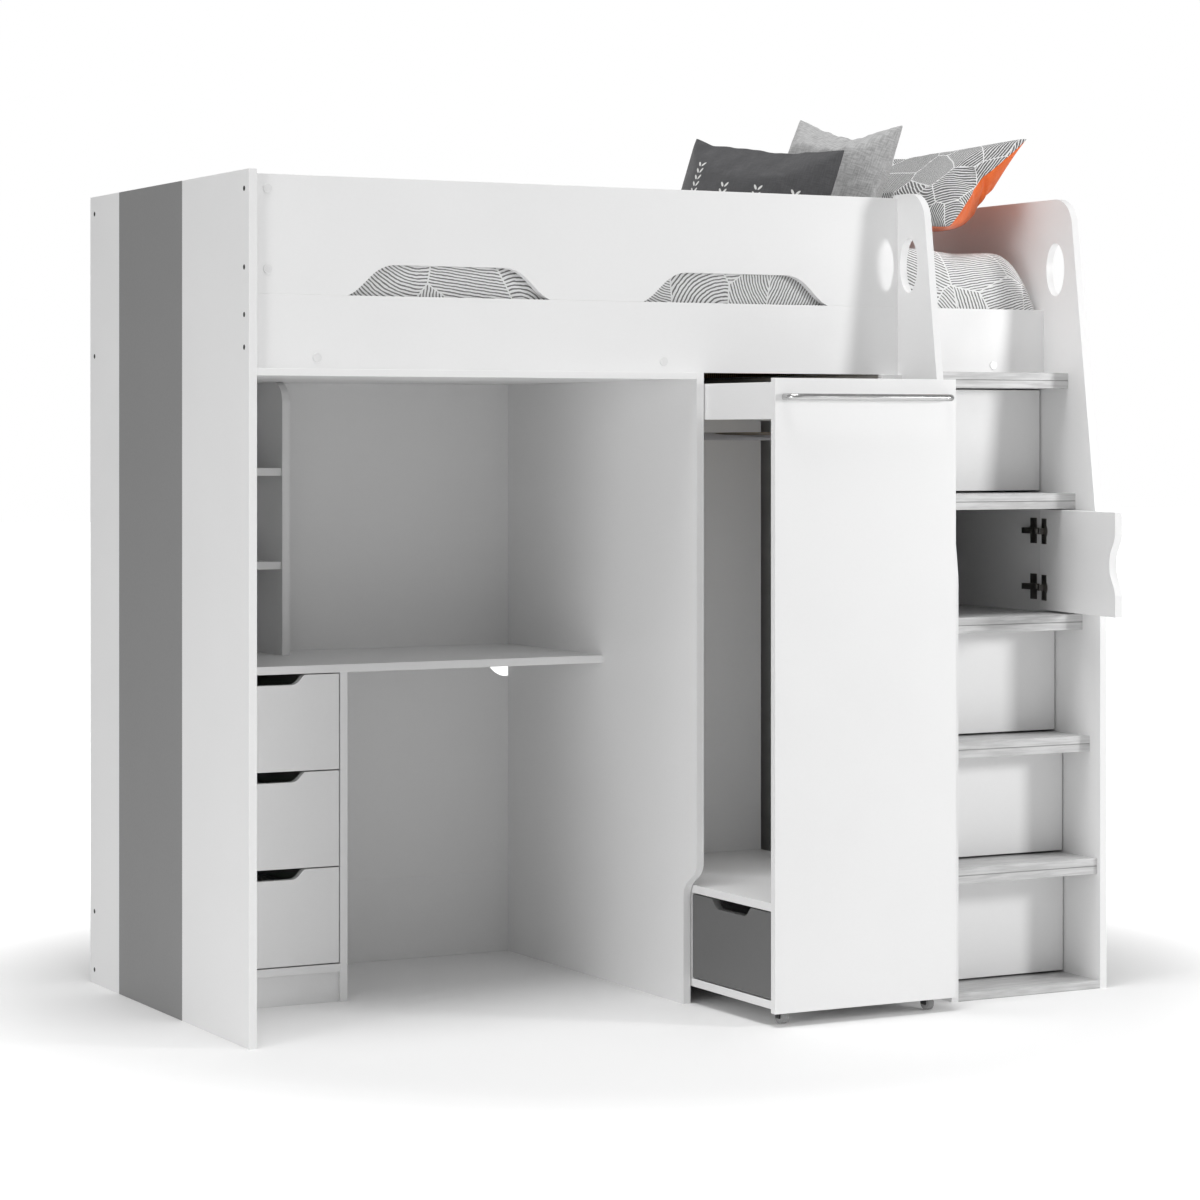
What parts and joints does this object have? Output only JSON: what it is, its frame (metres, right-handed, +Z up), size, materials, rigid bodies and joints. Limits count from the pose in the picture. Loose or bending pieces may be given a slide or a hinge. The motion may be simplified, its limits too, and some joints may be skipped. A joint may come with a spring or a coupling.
{
  "type": "loft bed",
  "caption": "High single bed over a desk with drawers and shelves, a pull-out wardrobe on castors and a stair of lockers.",
  "frame": {"origin": "on the floor, under the middle of the bed's overall box as it stands with the wardrobe out and one locker open", "axes": "+X along the bed from the desk end to the stair end, +Y to the back, +Z up"},
  "size_m": [2.042, 1.362, 2.0427],
  "materials": {
    "white_board": "white satin melamine on chipboard",
    "grey_board": "mid grey matt melamine on chipboard",
    "graphite_board": "graphite grey matt melamine on chipboard",
    "tread_board": "light grey streaked wood-grain melamine",
    "satin_chrome": "satin chrome plate",
    "chromed_steel": "polished chrome plate",
    "nickel_steel": "nickel-plated pressed steel",
    "zinc_steel": "white powder-coated steel",
    "castor_plastic": "black moulded nylon",
    "wheel_rubber": "translucent grey polyurethane",
    "dark_screw": "blackened steel",
    "cap_plastic": "white moulded plastic",
    "pine": "planed pine",
    "mattress_ticking": "white knitted ticking",
    "hatched_cotton": "printed cotton, grey and white hatching",
    "dark_cotton": "dark grey cotton with white stitched leaves",
    "grey_linen": "mottled light grey linen",
    "hatched_pillowcase": "printed cotton with an orange back"
  },
  "bodies": {
    "root": {"end_panel_front": "white_board", "end_panel_centre": "grey_board", "end_panel_rear": "white_board", "end_panel_right": "white_board", "ladder_side_panel": "white_board", "partition_panel": "white_board", "guard_rail": "white_board", "side_rail_front": "white_board", "side_rail_ladder": "white_board", "rear_rail": "white_board", "canopy_panel": "white_board", "back_panel_upper": "white_board", "back_panel_strip": "white_board", "rear_bay_panels": "white_board", "wardrobe_infill": "white_board", "desk_top": "white_board", "pedestal_side": "white_board", "back_panel_lower": "white_board", "bookshelf": "white_board", "pedestal_base": "white_board", "drawer_runners": "zinc_steel", "ladder_treads": "tread_board", "hinge_plates": "nickel_steel", "cover_caps": "cap_plastic", "assembly_screws": "dark_screw", "slat_battens": "pine", "bed_slats": "pine", "mattress": "mattress_ticking", "duvet": "hatched_cotton", "dark_cushion": "dark_cotton", "light_cushion": "grey_linen", "patterned_pillow": "hatched_pillowcase"},
    "wardrobe": {"wardrobe_front": "white_board", "wardrobe_rear": "white_board", "wardrobe_base": "white_board", "wardrobe_carcass": "white_board", "wardrobe_top_rails": "white_board", "wardrobe_handle": "satin_chrome", "hanging_rail": "chromed_steel", "castor_housings": "castor_plastic"},
    "low_drawer": {"low_drawer_front": "graphite_board", "low_drawer_box": "white_board"},
    "castors_front": {"castor_wheels_front": "wheel_rubber"},
    "castors_rear": {"castor_wheels_rear": "wheel_rubber"},
    "drawer_1": {"drawer_1_front": "white_board", "drawer_1_box": "white_board"},
    "drawer_2": {"drawer_2_front": "white_board", "drawer_2_box": "white_board"},
    "drawer_3": {"drawer_3_front": "white_board", "drawer_3_box": "white_board"},
    "door_1": {"locker_door_1": "white_board", "locker_hinges_1": "nickel_steel"},
    "door_2": {"locker_door_2": "white_board", "locker_hinges_2": "nickel_steel"},
    "door_3": {"locker_door_3": "white_board", "locker_hinges_3": "nickel_steel"},
    "door_4": {"locker_door_4": "white_board", "locker_hinges_4": "nickel_steel"},
    "door_5": {"locker_door_5": "white_board", "locker_hinges_5": "nickel_steel"}
  },
  "joints": [
    {"name": "wardrobe_slide", "type": "slide", "parent": "root", "child": "wardrobe", "axis": [0, -1, 0], "range_m": [-0.303, 0]},
    {"name": "low_drawer_slide", "type": "slide", "parent": "wardrobe", "child": "low_drawer", "axis": [-1, 0, 0], "range_m": [0, 0.3]},
    {"name": "castors_front_spin", "type": "hinge", "parent": "wardrobe", "child": "castors_front", "pos_m": [0.3035, -0.554, 0.017], "axis": [1, 0, 0], "range_deg": [-1040, 20]},
    {"name": "castors_rear_spin", "type": "hinge", "parent": "wardrobe", "child": "castors_rear", "pos_m": [0.3035, 0.21, 0.017], "axis": [1, 0, 0], "range_deg": [-1040, 20]},
    {"name": "drawer_1_slide", "type": "slide", "parent": "root", "child": "drawer_1", "axis": [0, -1, 0], "range_m": [0, 0.3]},
    {"name": "drawer_2_slide", "type": "slide", "parent": "root", "child": "drawer_2", "axis": [0, -1, 0], "range_m": [0, 0.3]},
    {"name": "drawer_3_slide", "type": "slide", "parent": "root", "child": "drawer_3", "axis": [0, -1, 0], "range_m": [0, 0.3]},
    {"name": "door_1_hinge", "type": "hinge", "parent": "root", "child": "door_1", "pos_m": [1, -0.27, 1.2637], "axis": [0, 0, 1], "range_deg": [0, 88]},
    {"name": "door_2_hinge", "type": "hinge", "parent": "root", "child": "door_2", "pos_m": [1, -0.3, 0.9831], "axis": [0, 0, 1], "range_deg": [-80, 8]},
    {"name": "door_3_hinge", "type": "hinge", "parent": "root", "child": "door_3", "pos_m": [1, -0.33, 0.7025], "axis": [0, 0, 1], "range_deg": [0, 88]},
    {"name": "door_4_hinge", "type": "hinge", "parent": "root", "child": "door_4", "pos_m": [1, -0.36, 0.4219], "axis": [0, 0, 1], "range_deg": [0, 88]},
    {"name": "door_5_hinge", "type": "hinge", "parent": "root", "child": "door_5", "pos_m": [1, -0.363, 0.1413], "axis": [0, 0, 1], "range_deg": [0, 88]}
  ],
  "couplings": [
    {"joint": "castors_front_spin", "follows": "wardrobe_slide", "rad_per_m": 58.824},
    {"joint": "castors_rear_spin", "follows": "wardrobe_slide", "rad_per_m": 58.824}
  ]
}
